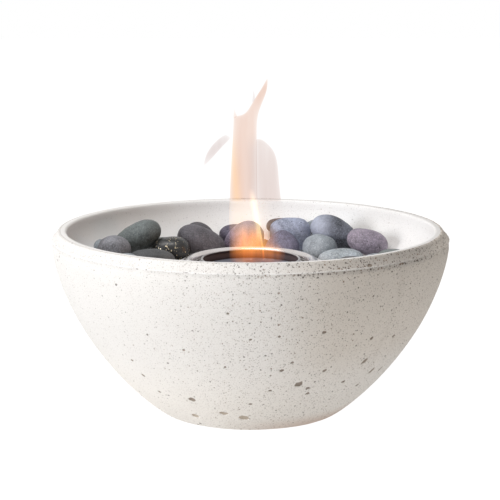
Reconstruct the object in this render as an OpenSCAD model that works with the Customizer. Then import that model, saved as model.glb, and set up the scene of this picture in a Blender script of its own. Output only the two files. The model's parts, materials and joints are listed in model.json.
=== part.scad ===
// Tabletop fire bowl: a cast concrete bowl with a ring trough of river pebbles
// around a drop-in steel holder, which carries an open can of gel fuel.
// Millimetres. +Z is up, the table is z = 0 and the bowl's axis is the Z axis.

/* [Bowl] */
// Diameter of the bowl at its widest line, just under the lip
bowl_d = 290; // [260:1:350]
// Diameter of the flat base, before its edge is eased
base_d = 128; // [100:1:170]
// Height of the widest line above the table
shoulder_z = 130; // [118:1:156]
// Height of the bevelled lip above the widest line
lip_h = 6; // [4:0.5:10]
// How far the lip's outer face leans in
lip_lean = 4; // [2:0.5:6]
// Width of the flat on top of the lip
lip_flat = 3; // [1:0.5:6]
// Radius that eases both edges of the lip
lip_round = 2; // [1:0.5:3]
// Thickness of the wall just under the lip
wall = 11; // [8:0.5:16]

/* [Trough for the pebbles] */
// Depth of the trough's floor below the rim
trough_drop = 38; // [34:1:46]
// Width of the flat floor, from the pedestal to where it rises towards the wall
trough_flat = 21.5; // [10:0.5:30]

/* [Pedestal and well] */
// Depth of the ledge that the holder's flange rests on, below the rim
ledge_drop = 29.6; // [24:0.2:32]
// How far the ledge reaches past the flange
ledge_edge = 0.6; // [0.4:0.1:4]
// Gap between the holder's cup and the well
well_gap = 1.2; // [0.6:0.1:2]

/* [Underside] */
// Depth of the shallow dish under the base
dish_h = 3; // [1:0.5:3.5]
// Number of felt pads
pad_count = 4; // [3:1:6]
// Diameter of a felt pad
pad_d = 12; // [8:0.5:16]
// Thickness of a felt pad
pad_h = 2.5; // [2:0.5:4]
// How far a pad stands out of its pocket
pad_proud = 1; // [0.5:0.5:2]
// Gap around a pad in its pocket
pad_gap = 0.2; // [0.1:0.1:0.5]
// Flat of the foot ring on each side of a pad
pad_margin = 1.5; // [1:0.5:5]

/* [Can holder] */
// Thickness of the holder's sheet steel
sheet = 0.8; // [0.5:0.1:1.2]
// Gap between the can's seams and the holder's cup
can_gap = 0.8; // [0.4:0.1:1.5]
// Outer radius of the rounded bead around the holder's mouth
bead_r = 3.4; // [2.4:0.2:4.2]
// Height of the bead's crest above the ledge
bead_rise = 6.6; // [5.6:0.2:8]
// Slope of the flange, down and outwards, in degrees
flange_slope = 30; // [26:1:36]
// Width of the flat foot around the flange
flange_foot = 1.5; // [1:0.5:2]
// Gap between the cup's bottom and the well's floor
cup_lift = 0.6; // [0.4:0.1:1]

/* [Fuel can] */
// Diameter of the can over its seams
can_d = 82.4; // [68:0.2:100]
// Height of the can
can_h = 92.6; // [76:0.2:98]
// Height of a seam around the can
seam_h = 3.2; // [2:0.2:4]
// Thickness of the tinplate
tin = 0.6; // [0.4:0.1:0.8]
// How far the mouth's edge lies inside the seam's outside
mouth_inset = 6.2; // [5:0.1:12]
// Width of the rolled lip around the mouth
mouth_lip = 1.8; // [1.6:0.1:2.4]
// Depth of the top panel below the mouth's lip
panel_drop = 8; // [6:0.5:9]
// Depth of the gel's surface below the mouth's lip
gel_drop = 6.6; // [5:0.2:7]

/* [Pebbles] */
// Gap between a pebble and the trough under it
pebble_gap = 0.3; // [0.2:0.1:0.5]
// Facets around a pebble
pebble_sides = 14; // [12:2:20]
// Rings of points from one end of a pebble to the other
pebble_rings = 8; // [7:1:12]

/* [Hidden] */
$fn = 96;

bowl_r = bowl_d / 2;
base_r = base_d / 2;
rim_z = shoulder_z + lip_h;
trough_z = rim_z - trough_drop;
ledge_z = rim_z - ledge_drop;
// The outside of the bowl is a superellipse with these two powers
side_power = 1.72;
side_root = 0.85;
side_steps = 26;
base_ease = 3;
side_foot_z = pad_proud + 1.5;
trough_steps = 14;
trough_fillet = 2;
ledge_ease = 1;

mouth_in_r = bowl_r - wall;
mouth_in_z = rim_z - lip_round - 2;

pad_ring_r = base_r - base_ease - pad_margin - pad_d / 2;
dish_r = pad_ring_r - pad_d / 2 - pad_margin;

mouth_z = ledge_z + bead_rise;
can_z = mouth_z - can_h;
cup_z = can_z - sheet;
well_z = cup_z - cup_lift;
cup_in_r = can_d / 2 + can_gap;
cup_out_r = cup_in_r + sheet;
well_r = cup_out_r + well_gap;
// The cup's corner is inside the gap around the can, so that the can stands flat
cup_corner = sheet + can_gap;

// The flange leaves the bead at flange_turn, and slopes down to its foot on the ledge
flange_turn = 90 - flange_slope;
flange_run = 1 / tan(flange_slope);
bead_c = [cup_in_r + bead_r, mouth_z - bead_r];
flange_top = bead_c + bead_r * [cos(flange_turn), sin(flange_turn)];
foot_r = flange_top.x + (flange_top.y - ledge_z - sheet) * flange_run;
pedestal_r = foot_r + flange_foot + ledge_edge;
trough_flat_r = pedestal_r + trough_flat;

mouth_r = can_d / 2 - mouth_inset;
can_wall_r = can_d / 2 - 2 * tin;
panel_z = mouth_z - panel_drop;
seam_top = panel_z + seam_h;

// Radius of the bowl's side at a height
function side_r(z) =
    base_r + (bowl_r - base_r) * pow(1 - pow((shoulder_z - z) / shoulder_z, side_power), side_root);

// Points on an arc, from angle a to angle b
function arc(c, r, a, b, steps) =
    [for (i = [0:steps]) let (t = a + (b - a) * i / steps) c + r * [cos(t), sin(t)]];

// The trough's wall is a quarter of an ellipse from its flat floor up to the mouth
function trough_wall(t) =
    [trough_flat_r + (mouth_in_r - trough_flat_r) * sin(t),
     trough_z + (mouth_in_z - trough_z) * (1 - cos(t))];

// Height of the trough's surface under a point at radius r
function trough_height(r) =
    r <= trough_flat_r ? trough_z :
    trough_z + (mouth_in_z - trough_z)
        * (1 - sqrt(1 - pow(min(1, (r - trough_flat_r) / (mouth_in_r - trough_flat_r)), 2)));

// ---- Bowl ----

module bowl_outline() {
    lip_head = [bowl_r - lip_lean, rim_z - lip_round];
    polygon(concat(
        [[0, well_z], [0, pad_proud + dish_h], [dish_r - dish_h, pad_proud + dish_h],
         [dish_r, pad_proud], [side_r(pad_proud) - base_ease, pad_proud]],
        // outside, from the eased base up to the shoulder
        [for (i = [0:side_steps])
            let (z = side_foot_z + (shoulder_z - side_foot_z) * (1 - cos(90 * i / side_steps)))
            [side_r(z), z]],
        // lip
        arc(lip_head - [lip_round, 0], lip_round, 0, 90, 5),
        arc([bowl_r - lip_lean - lip_round - lip_flat, rim_z - lip_round], lip_round, 90, 160, 5),
        // inside, down the wall to the trough's floor
        [for (i = [trough_steps:-1:0]) trough_wall(90 * i / trough_steps)],
        [[pedestal_r + trough_fillet, trough_z], [pedestal_r, trough_z + trough_fillet],
         [pedestal_r, ledge_z - ledge_ease], [pedestal_r - ledge_ease, ledge_z],
         [well_r, ledge_z], [well_r, well_z]]));
}

module at_pads() {
    for (i = [0:pad_count - 1])
        rotate(360 / pad_count * (i + 0.5))
            translate([pad_ring_r, 0, 0])
                children();
}

module bowl() {
    color([0.93, 0.92, 0.90])
        difference() {
            rotate_extrude() bowl_outline();
            at_pads()
                translate([0, 0, pad_proud - 1])
                    cylinder(r = pad_d / 2 + pad_gap, h = pad_h - pad_proud + 1);
        }
}

module felt_pad(i) {
    color([0.25, 0.25, 0.26])
        rotate(360 / pad_count * (i - 0.5))
            translate([pad_ring_r, 0, 0])
                cylinder(d = pad_d, h = pad_h);
}

// ---- Can holder ----

// The drawn cup, its bead and its sloping flange, one sheet thick all the way
module can_holder() {
    inner_bead = bead_r - sheet;
    under = bead_c + inner_bead * [cos(flange_turn), sin(flange_turn)];
    foot_under = under.x + (under.y - ledge_z) * flange_run;
    color([0.80, 0.80, 0.80])
        rotate_extrude()
            polygon(concat(
                [[0, cup_z + sheet], [0, cup_z]],
                arc([cup_out_r - cup_corner, cup_z + cup_corner], cup_corner, -90, 0, 6),
                arc(bead_c, inner_bead, 180, flange_turn, 10),
                [[foot_under, ledge_z], [foot_r + flange_foot, ledge_z],
                 [foot_r + flange_foot, ledge_z + sheet], [foot_r, ledge_z + sheet]],
                arc(bead_c, bead_r, flange_turn, 180, 14),
                arc([cup_out_r - cup_corner, cup_z + cup_corner], can_gap, 0, -90, 6)));
}

// ---- Fuel can ----

// The wall is one sheet that both ends fold over, each with a seam three sheets thick
module can_wall() {
    color([0.72, 0.73, 0.74])
        translate([0, 0, can_z + tin])
            difference() {
                cylinder(r = can_wall_r + tin, h = seam_top - can_z - 2 * tin);
                translate([0, 0, -1])
                    cylinder(r = can_wall_r, h = seam_top - can_z - 2 * tin + 2);
            }
}

module can_bottom() {
    color([0.70, 0.71, 0.72])
        translate([0, 0, can_z])
            rotate_extrude()
                polygon([
                    [0, seam_h - tin], [can_wall_r - tin, seam_h - tin], [can_wall_r - tin, 0],
                    [can_wall_r + 2 * tin, 0], [can_wall_r + 2 * tin, seam_h],
                    [can_wall_r + tin, seam_h], [can_wall_r + tin, tin], [can_wall_r, tin],
                    [can_wall_r, seam_h], [0, seam_h]]);
}

// The top end: a seam, a sunken panel and a raised, rolled lip around the mouth
module can_top() {
    roll = mouth_lip / 2;
    roll_c = [mouth_r + roll, mouth_z - roll];
    color([0.78, 0.78, 0.77])
        rotate_extrude()
            polygon(concat(
                [[can_wall_r + tin, panel_z], [can_wall_r + 2 * tin, panel_z],
                 [can_wall_r + 2 * tin, seam_top], [can_wall_r - tin, seam_top],
                 [can_wall_r - tin, panel_z + tin], [mouth_r + mouth_lip, panel_z + tin]],
                arc(roll_c, roll, 0, 180, 8),
                [[mouth_r, panel_z + tin], [mouth_r + tin, panel_z + tin],
                 [mouth_r + tin, mouth_z - mouth_lip], [mouth_r + mouth_lip - tin, mouth_z - mouth_lip],
                 [mouth_r + mouth_lip - tin, panel_z],
                 [can_wall_r, panel_z], [can_wall_r, seam_top - tin],
                 [can_wall_r + tin, seam_top - tin]]));
}

module fuel_gel() {
    gel_gap = 0.2;
    neck_z = panel_z - gel_gap;
    color([0.55, 0.62, 0.75])
        rotate_extrude()
            polygon([
                [0, can_z + seam_h], [can_wall_r - gel_gap, can_z + seam_h],
                [can_wall_r - gel_gap, neck_z], [mouth_r - gel_gap, neck_z],
                [mouth_r - gel_gap, mouth_z - gel_drop], [0, mouth_z - gel_drop]]);
}

// ---- Pebbles ----

// Each pebble: [azimuth, radius, length, width, thickness, heading, pitch, roll, egg, bluff,
// colour], in a trough from PLAN_IN to PLAN_OUT. heading turns its length away from the line out of the axis; pitch raises its far
// end; roll turns it about its length; egg makes its far end finer than the near one; bluff
// is 1 for an ellipsoid and less for a squarer pebble.
PEBBLES = [
    // the back half, from the left wall round to the right wall
    [170, 104, 28, 24, 23,   80,  15,  0,  0.1,  0.9,  0],
    [150, 101, 40, 26, 22, -150,  28,  0, -0.05, 0.9,  1],
    [145,  74, 29, 23, 23,   35,   0,  0,  0,    0.85, 2],
    [168,  76, 36, 21, 18,   30,   6,  0,  0.1,  0.9,  3],
    [189,  92, 28, 22, 19,   80,   0,  0,  0,    0.9,  4],
    [120,  76, 40, 26, 23,   68,  26,  0,  0,    0.85, 3],
    [113, 104, 25, 23, 19,   20,  30,  0,  0,    0.9,  3],
    [ 94,  79, 34, 27, 25,  -85,  34,  0, -0.1,  0.95, 3],
    [ 85,  95, 17, 14, 10,    0,   0,  0,  0,    0.9,  3],
    [ 71,  97, 33, 27, 22,  -71,   0, 82,  0,    0.75, 0],
    [ 70,  73, 23, 26, 22,    0,  80,  0,  0.28, 0.95, 5],
    [ 47,  79, 28, 22, 22,   90,   0,  0,  0,    0.9,  4],
    [ 50, 102, 38, 25, 24,  130,  28,  0,  0,    0.9,  0],
    [ 26,  76, 35, 25, 15,  -22,   2,  0,  0,    0.9,  4],
    [ 30, 104, 32, 25, 19,  150,  15,  0,  0,    0.9,  5],
    [ 10,  98, 30, 24, 11,   80,   0,  0,  0,    0.9,  4],
    // low ones behind them
    [133, 102, 28, 22, 12,   80,   0,  0,  0,    0.9,  1],
    [ 96, 107, 28, 22, 15,   90,   0,  0,  0,    0.9,  0],
    // the front half, next to the holder
    [200,  74, 28, 23, 16,   80,   5,  0,  0.1,  0.9,  5],
    [222,  76, 29, 24, 17,  100,   0,  8,  0,    0.85, 0],
    [245,  77, 30, 26, 17,   60,   8,  0,  0,    0.9,  3],
    [269,  76, 31, 24, 16,   95,   0,  0,  0.1,  0.85, 4],
    [292,  77, 29, 25, 18,   80,   5, 10,  0,    0.9,  1],
    [315,  76, 31, 24, 17,  110,   0,  0, -0.1,  0.9,  3],
    [338,  76, 29, 25, 17,   75,   6,  0,  0,    0.85, 0],
    [  0,  75, 28, 23, 15,   95,   0,  5,  0,    0.9,  2],
    // the front half, next to the wall
    [209, 104, 36, 27, 19,   85,   0,  5,  0.1,  0.9,  0],
    [230, 105, 34, 27, 18,  100,   4,  0,  0,    0.85, 4],
    [250, 104, 35, 26, 19,   80,   0,  0,  0.05, 0.9,  1],
    [271, 105, 35, 28, 18,   95,   5,  8,  0,    0.9,  0],
    [291, 104, 34, 26, 19,   85,   0,  0, -0.1,  0.85, 5],
    [312, 105, 36, 27, 18,  100,   4,  0,  0,    0.9,  0],
    [332, 104, 34, 27, 18,   80,   0,  5,  0.1,  0.9,  3],
    [352, 105, 33, 26, 17,   95,   0,  0,  0,    0.85, 1],
    // small ones in the gaps against the wall
    [ 77, 117, 27, 19, 13,   90,   0,  0,  0,    0.9,  3],
    [ 62, 118, 24, 18, 12,   90,   0,  0,  0,    0.9,  4],
    [ 39, 118, 18, 13, 10,   90,   0,  0,  0,    0.9,  1],
    [162, 119, 16, 10, 10,   90,   0,  0,  0,    0.9,  4],
    [190, 113, 18, 13, 10,   90,   0,  0,  0,    0.9,  3],
    [219, 119, 22, 11, 10,   90,   0,  0,  0,    0.9,  1],
    [240, 119, 20, 11,  9,   90,   0,  0,  0,    0.9,  2],
    [260, 120, 20, 10, 10,   90,   0,  0,  0,    0.9,  5],
    [301, 120, 20, 10, 10,   90,   0,  0,  0,    0.9,  4],
    [323, 119, 22, 12, 10,   90,   0,  0,  0,    0.9,  0],
    [342, 120, 20, 10,  9,   90,   0,  0,  0,    0.9,  3],
    // and between the two rings
    [160,  87, 12, 10,  8,    0,   0,  0,  0,    0.9,  0],
    [182,  71, 17, 12, 11,    5,   0,  0,  0,    0.9,  1],
    [302,  91, 12, 10,  9,    0,   0,  0,  0,    0.9,  0],
];

PEBBLE_COLOURS = [
    [0.36, 0.40, 0.46],   // 0 slate
    [0.42, 0.45, 0.45],   // 1 grey green
    [0.16, 0.16, 0.17],   // 2 black
    [0.30, 0.29, 0.31],   // 3 charcoal
    [0.56, 0.58, 0.61],   // 4 light grey
    [0.50, 0.44, 0.48]    // 5 mauve
];

// A wider trough spreads the pebbles out, and a narrower one takes smaller pebbles
PLAN_IN = 58.5;
PLAN_OUT = 134;
trough_fit = (mouth_in_r - pedestal_r) / (PLAN_OUT - PLAN_IN);
pebble_size = min(1, trough_fit);

function pebble_r(row) = pedestal_r + (row[1] - PLAN_IN) * trough_fit;

function pebble_name(i) = str("pebble_", i < 9 ? "0" : "", i + 1);

// Turns a point by roll, pitch and heading, in that order
function turned(p, roll, pitch, heading) =
    let (a = [p.x, p.y * cos(roll) - p.z * sin(roll), p.y * sin(roll) + p.z * cos(roll)],
         b = [a.x * cos(pitch) - a.z * sin(pitch), a.y, a.x * sin(pitch) + a.z * cos(pitch)])
    [b.x * cos(heading) - b.y * sin(heading), b.x * sin(heading) + b.y * cos(heading), b.z];

function signed_pow(c, power) = sign(c) * pow(abs(c), power);

// A point on a pebble's skin: u goes from end to end, v goes around
function skin(row, u, v) =
    let (half = [row[2], row[3], row[4]] / 2 * pebble_size,
         bluff = row[9],
         girth = signed_pow(sin(u), bluff) * (1 - row[8] * cos(u)))
    [half.x * signed_pow(cos(u), bluff),
     half.y * girth * signed_pow(cos(v), bluff),
     half.z * girth * signed_pow(sin(v), bluff)];

function placed_skin(row, u, v) =
    turned(skin(row, u, v), row[7], row[6], row[0] + row[5])
        + pebble_r(row) * [cos(row[0]), sin(row[0]), 0];

function pebble_skin(row) = concat(
    [placed_skin(row, 0, 0)],
    [for (j = [1:pebble_rings - 1], i = [0:pebble_sides - 1])
        placed_skin(row, 180 * j / pebble_rings, 360 * i / pebble_sides)],
    [placed_skin(row, 180, 0)]);

// How far a pebble has to rise to lie on the trough, all its points clear of it
function rest_z(points) =
    max([for (p = points) trough_height(norm([p.x, p.y])) - p.z]) + pebble_gap;

module pebble(row) {
    n = pebble_sides;
    last = 1 + (pebble_rings - 1) * n;
    points = pebble_skin(row);
    faces = concat(
        [for (i = [0:n - 1]) [0, 1 + (i + 1) % n, 1 + i]],
        [for (j = [0:pebble_rings - 3], i = [0:n - 1])
            let (a = 1 + j * n + i, b = 1 + j * n + (i + 1) % n)
            each [[a, b, b + n], [a, b + n, a + n]]],
        [for (i = [0:n - 1])
            let (first = 1 + (pebble_rings - 2) * n)
            [last, first + i, first + (i + 1) % n]]);
    color(PEBBLE_COLOURS[row[10]])
        translate([0, 0, rest_z(points)])
            polyhedron(points, faces);
}

bowl();
for (i = [1:pad_count])
    felt_pad(i);
can_holder();
can_wall();
can_bottom();
can_top();
fuel_gel();
for (i = [0:1:len(PEBBLES) - 1])
    pebble(PEBBLES[i]);
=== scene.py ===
"""A tabletop fire bowl: a cast concrete bowl, river pebbles and a drop-in can of gel fuel.

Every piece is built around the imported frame, in metres, with +Z up, -Y towards the viewer
and the table at z = 0.
"""
import json
import math

import bmesh
import bpy
from bpy.props import FloatProperty, FloatVectorProperty, PointerProperty
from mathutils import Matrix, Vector, noise


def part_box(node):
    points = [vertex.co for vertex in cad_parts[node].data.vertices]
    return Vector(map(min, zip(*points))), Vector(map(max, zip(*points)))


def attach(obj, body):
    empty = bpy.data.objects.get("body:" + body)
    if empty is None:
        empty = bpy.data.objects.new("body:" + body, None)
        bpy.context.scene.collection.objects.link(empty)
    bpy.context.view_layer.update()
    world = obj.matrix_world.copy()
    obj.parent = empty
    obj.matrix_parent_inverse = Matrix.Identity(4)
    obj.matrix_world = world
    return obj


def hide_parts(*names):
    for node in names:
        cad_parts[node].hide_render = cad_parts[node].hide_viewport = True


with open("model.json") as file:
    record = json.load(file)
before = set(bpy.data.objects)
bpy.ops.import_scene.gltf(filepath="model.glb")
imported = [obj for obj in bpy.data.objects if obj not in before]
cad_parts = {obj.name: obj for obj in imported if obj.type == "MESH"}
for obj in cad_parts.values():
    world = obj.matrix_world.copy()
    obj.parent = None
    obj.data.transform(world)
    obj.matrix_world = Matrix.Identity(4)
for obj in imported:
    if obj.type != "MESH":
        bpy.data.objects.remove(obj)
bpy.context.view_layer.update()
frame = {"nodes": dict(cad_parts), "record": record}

bl_info = {
    "name": "Tabletop Fire Bowl",
    "version": (1, 0, 0),
    "blender": (4, 5, 0),
    "location": "View3D > Sidebar > Fire Bowl",
    "description": "Builds a concrete fire bowl with pebbles, a steel can holder and a flame",
    "category": "Object",
}

MM = 0.001
WHITE = (1.0, 1.0, 1.0, 1.0)
BOWL_BODY = "bowl_with_pebbles"
HOLDER_BODY = "holder"
CAN_BODY = "fuel_can"


# ---- Settings ----

def length(name, text, default, low=0.0, high=1.0):
    """A size in metres that a user can change."""
    return FloatProperty(name=name, description=text, default=default, min=low, max=high,
                         unit="LENGTH", precision=4)


def colour(name, text, default):
    """A linear colour that a user can change."""
    return FloatVectorProperty(name=name, description=text, default=default, size=3, min=0.0,
                               max=1.0, subtype="COLOR")


def amount(name, text, default, high):
    """A plain number from 0 to high."""
    return FloatProperty(name=name, description=text, default=default, min=0.0, max=high)


def power(name, text, default):
    """The power of a lamp in watts."""
    return FloatProperty(name=name, description=text, default=default, min=0.0, unit="POWER")


class BowlSettings(bpy.types.PropertyGroup):
    """Sizes and colours of the cast bowl and its pads."""
    radius: length("Radius", "Radius at the widest line, just under the lip",
                   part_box("bowl")[1].x)
    base_radius: length("Base radius", "Radius of the base before its edge is eased", 0.064)
    foot: length("Foot height", "Height of the bowl's underside over the table",
                 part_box("bowl")[0].z)
    rim: length("Rim height", "Height of the rim over the table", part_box("bowl")[1].z)
    lip_height: length("Lip height", "Height of the bevelled lip", 0.006)
    lip_lean: length("Lip lean", "How far the lip's outer face leans in", 0.004)
    lip_flat: length("Lip flat", "Width of the flat on top of the lip", 0.003)
    lip_round: length("Lip rounding", "Radius that eases the lip's edges", 0.002)
    wall: length("Wall", "Thickness of the wall under the lip", 0.011)
    trough_drop: length("Trough depth", "Depth of the trough under the rim", 0.038)
    trough_flat: length("Trough flat", "Width of the trough's flat floor", 0.0215)
    ledge_drop: length("Ledge depth", "Depth of the pedestal's ledge under the rim", 0.0296)
    pedestal_radius: length("Pedestal radius", "Outer radius of the pedestal", 0.05846)
    well_radius: length("Well radius", "Radius of the well", 0.044)
    well_floor: length("Well floor", "Height of the well's floor over the table", 0.019)
    dish_radius: length("Dish radius", "Radius of the dish under the base", 0.046)
    dish_height: length("Dish height", "Depth of the dish under the base", 0.003)
    paste: colour("Cement", "Colour of the cement", (0.81, 0.79, 0.765))
    warm: colour("Low cement", "Colour of the cement low on the side", (0.82, 0.785, 0.735))
    # painted light: the smoother inside, painted paler still to lift the shade inside the bowl
    inner: colour("Inner cement", "Colour of the smoother inside", (0.96, 0.955, 0.95))
    # painted shade: the pores, pocks and breaks take this dark colour too
    speck: colour("Specks", "Colour of the dark grains and pores", (0.078, 0.058, 0.044))
    rust: colour("Rust", "Colour of the grains with iron in them", (0.21, 0.115, 0.055))
    # painted shade: the dark of the chipped hollows
    chip: colour("Chips", "Colour inside the chipped places", (0.22, 0.175, 0.135))
    felt: colour("Felt", "Colour of the pads", (0.045, 0.045, 0.05))

    @property
    def shoulder(self):
        """Height of the line under the lip."""
        return self.rim - self.lip_height


class PebbleSettings(bpy.types.PropertyGroup):
    """Colours and surface of the river pebbles."""
    slate: colour("Slate", "Blue-grey pebbles", (0.12, 0.13, 0.16))
    green: colour("Green", "Grey-green pebbles", (0.105, 0.12, 0.12))
    black: colour("Black", "Polished black pebbles", (0.018, 0.018, 0.018))
    charcoal: colour("Charcoal", "Dark grey pebbles", (0.078, 0.074, 0.082))
    light: colour("Light", "Pale grey pebbles", (0.24, 0.27, 0.30))
    mauve: colour("Mauve", "Purplish pebbles", (0.185, 0.155, 0.185))
    unevenness: length("Unevenness", "How far a pebble's skin strays from a smooth egg", 0.0007)


class BurnerSettings(bpy.types.PropertyGroup):
    """Colours of the holder, the can and its gel."""
    steel: colour("Steel", "Colour of the stainless sheet", (0.66, 0.64, 0.64))
    tin: colour("Tinplate", "Colour of the can", (0.60, 0.60, 0.60))
    gel: colour("Gel", "Colour of the gel", (0.13, 0.15, 0.20))


class FlameSettings(bpy.types.PropertyGroup):
    """Colours and strength of the flame."""
    orange: colour("Orange", "Colour low in the flame", (1.0, 0.42, 0.12))
    ember: colour("Ember", "Colour at the foot of the flame", (1.0, 0.28, 0.05))
    pale: colour("Pale", "Colour half way up the flame", (1.0, 0.74, 0.50))
    core: colour("Core", "Colour of the bright core", (1.0, 0.86, 0.40))
    glow: amount("Glow", "Light that each metre of the low flame gives", 39.0, 100.0)
    veil: amount("Veil", "How much each metre of the high flame hides", 20.0, 100.0)
    lamp: power("Glow on pebbles", "Power of the flame's own light", 0.02)


class StudioSettings(bpy.types.PropertyGroup):
    """Camera, lamps and floor."""
    lens: FloatProperty(name="Lens", description="Focal length", default=108.0, min=20.0,
                        unit="CAMERA")
    distance: length("Distance", "Level distance from the camera to the bowl's axis",
                     1.0854, 0.1, 10.0)
    height: length("Camera height", "Height of the camera over the table", 0.3219, 0.0, 5.0)
    offset: length("Camera offset", "How far the camera stands to the right", -0.00043, -1.0)
    tilt: FloatProperty(name="Tilt", description="How far the camera looks down",
                        default=0.185, subtype="ANGLE", unit="ROTATION")
    key: power("Key lamp", "Power of the strong lamp on the left", 22.6)
    fill: power("Fill lamp", "Power of the weak lamp overhead, a little in front", 8.6)
    top: power("Top lamp", "Power of the lamp overhead on the left", 11.5)
    sky: amount("Ambient light", "Strength of the even light from all round", 0.245, 4.0)


# ---- Materials ----

class Signal:
    """A socket of a material being built. Arithmetic on it adds Math nodes."""

    def __init__(self, finish, socket):
        self.finish = finish
        self.socket = socket

    def other(self, output):
        """Another output of the node that this one comes from."""
        return Signal(self.finish, self.socket.node.outputs[output])

    def __add__(self, other):
        return self.finish.math("ADD", self, other)

    __radd__ = __add__

    def __sub__(self, other):
        return self.finish.math("SUBTRACT", self, other)

    def __rsub__(self, other):
        return self.finish.math("SUBTRACT", other, self)

    def __mul__(self, other):
        return self.finish.math("MULTIPLY", self, other)

    __rmul__ = __mul__

    def __truediv__(self, other):
        return self.finish.math("DIVIDE", self, other)

    def most(self, other):
        """The greater of the two."""
        return self.finish.math("MAXIMUM", self, other)

    def above(self, low, high):
        """0 at low and under, 1 at high and over, smooth between them."""
        settings = {"interpolation_type": "SMOOTHSTEP"}
        values = {"Value": self, "From Min": low, "From Max": high}
        return self.finish.node("ShaderNodeMapRange", settings, values)

    def below(self, low, high):
        """1 at low and under, 0 at high and over, smooth between them."""
        return 1.0 - self.above(low, high)

    def hump(self, middle, width):
        """1 at the middle, falling off on both sides like a bell."""
        away = (self - middle) / width
        return self.finish.math("EXPONENT", away * away * -1.0)


class Finish:
    """A material, or the world, built from nodes."""

    def __init__(self, name, group="materials"):
        self.made = getattr(bpy.data, group).new(name)
        self.made.use_nodes = True
        self.tree = self.made.node_tree
        self.tree.nodes.clear()

    def node(self, kind, settings=None, values=None, output=0):
        """A new node's output, with its settings made first and its sockets given values."""
        made = self.tree.nodes.new(kind)
        for key, value in (settings or {}).items():
            setattr(made, key, value)
        for key, value in (values or {}).items():
            if isinstance(value, Signal):
                self.tree.links.new(value.socket, made.inputs[key])
            else:
                made.inputs[key].default_value = value
        return Signal(self, made.outputs[output]) if made.outputs else None

    def math(self, operation, *values):
        """The result of a Math node on values."""
        return self.node("ShaderNodeMath", {"operation": operation}, dict(enumerate(values)))

    def vector(self, operation, values):
        """The result of a Vector Math node on the values of its sockets."""
        return self.node("ShaderNodeVectorMath", {"operation": operation}, values)

    def place(self):
        """The point on the object, in metres."""
        return self.node("ShaderNodeTexCoord", output="Object")

    def axes(self, point):
        """The x, y and z of a point."""
        made = self.node("ShaderNodeSeparateXYZ", values={0: point})
        return [made.other(name) for name in "XYZ"]

    def radius(self, x, y):
        """The distance from the bowl's axis."""
        return self.math("SQRT", x * x + y * y)

    def shifted(self, point, reach, scale, seed=0.0):
        """The point moved about by noise, up to about reach on each side."""
        wander = self.node("ShaderNodeTexNoise", {"noise_dimensions": "4D"},
                           {"Vector": point, "W": seed, "Scale": scale}, output="Color")
        centred = self.vector("SUBTRACT", {0: wander, 1: (0.5, 0.5, 0.5)})
        step = self.vector("SCALE", {0: centred, "Scale": 2.0 * reach})
        return self.vector("ADD", {0: point, 1: step})

    def cloud(self, point, scale, detail=2.0, roughness=0.5, seed=0.0):
        """Soft noise from 0 to 1."""
        values = {"Vector": point, "W": seed, "Scale": scale, "Detail": detail,
                  "Roughness": roughness}
        return self.node("ShaderNodeTexNoise", {"noise_dimensions": "4D"}, values)

    def specks(self, point, cell, small, large, kept, seed=0.0):
        """1 in round specks, one in a share of the cells, with radii in metres."""
        moved = self.vector("ADD", {0: point, 1: (0.37 * seed, 0.21 * seed, 0.53 * seed)})
        distance = self.node("ShaderNodeTexVoronoi",
                             values={"Vector": moved, "Scale": 1.0 / cell}, output="Distance")
        red, green = self.axes(distance.other("Color"))[:2]
        radius = (green * (large - small) + small) * (1.0 / cell)
        inside = (distance / radius).below(0.55, 1.0)
        return inside * self.math("LESS_THAN", red, kept)

    def mixed(self, factor, first, second):
        """Two colours mixed."""
        values = {0: factor, 6: opaque(first), 7: opaque(second)}
        return self.node("ShaderNodeMix", {"data_type": "RGBA"}, values, output=2)

    def bump(self, height, distance, strength=1.0):
        """A normal from a height, where a height of 1 stands distance metres high."""
        values = {"Height": height, "Distance": distance, "Strength": strength}
        return self.node("ShaderNodeBump", values=values)

    def surface(self, **values):
        """Ends the material with a Principled shader."""
        named = {key.replace("_", " ").title().replace("Ior", "IOR"): value
                 for key, value in values.items()}
        shader = self.node("ShaderNodeBsdfPrincipled", values=named)
        self.node("ShaderNodeOutputMaterial", values={"Surface": shader})
        return self.made


def opaque(value):
    """A colour with its alpha, or a signal as it is."""
    return value if isinstance(value, Signal) else (*value[:3], 1.0)


def scaled(tone, times):
    """A colour made paler or darker, with no channel over 1."""
    return [min(1.0, times * channel) for channel in tone]


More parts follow.
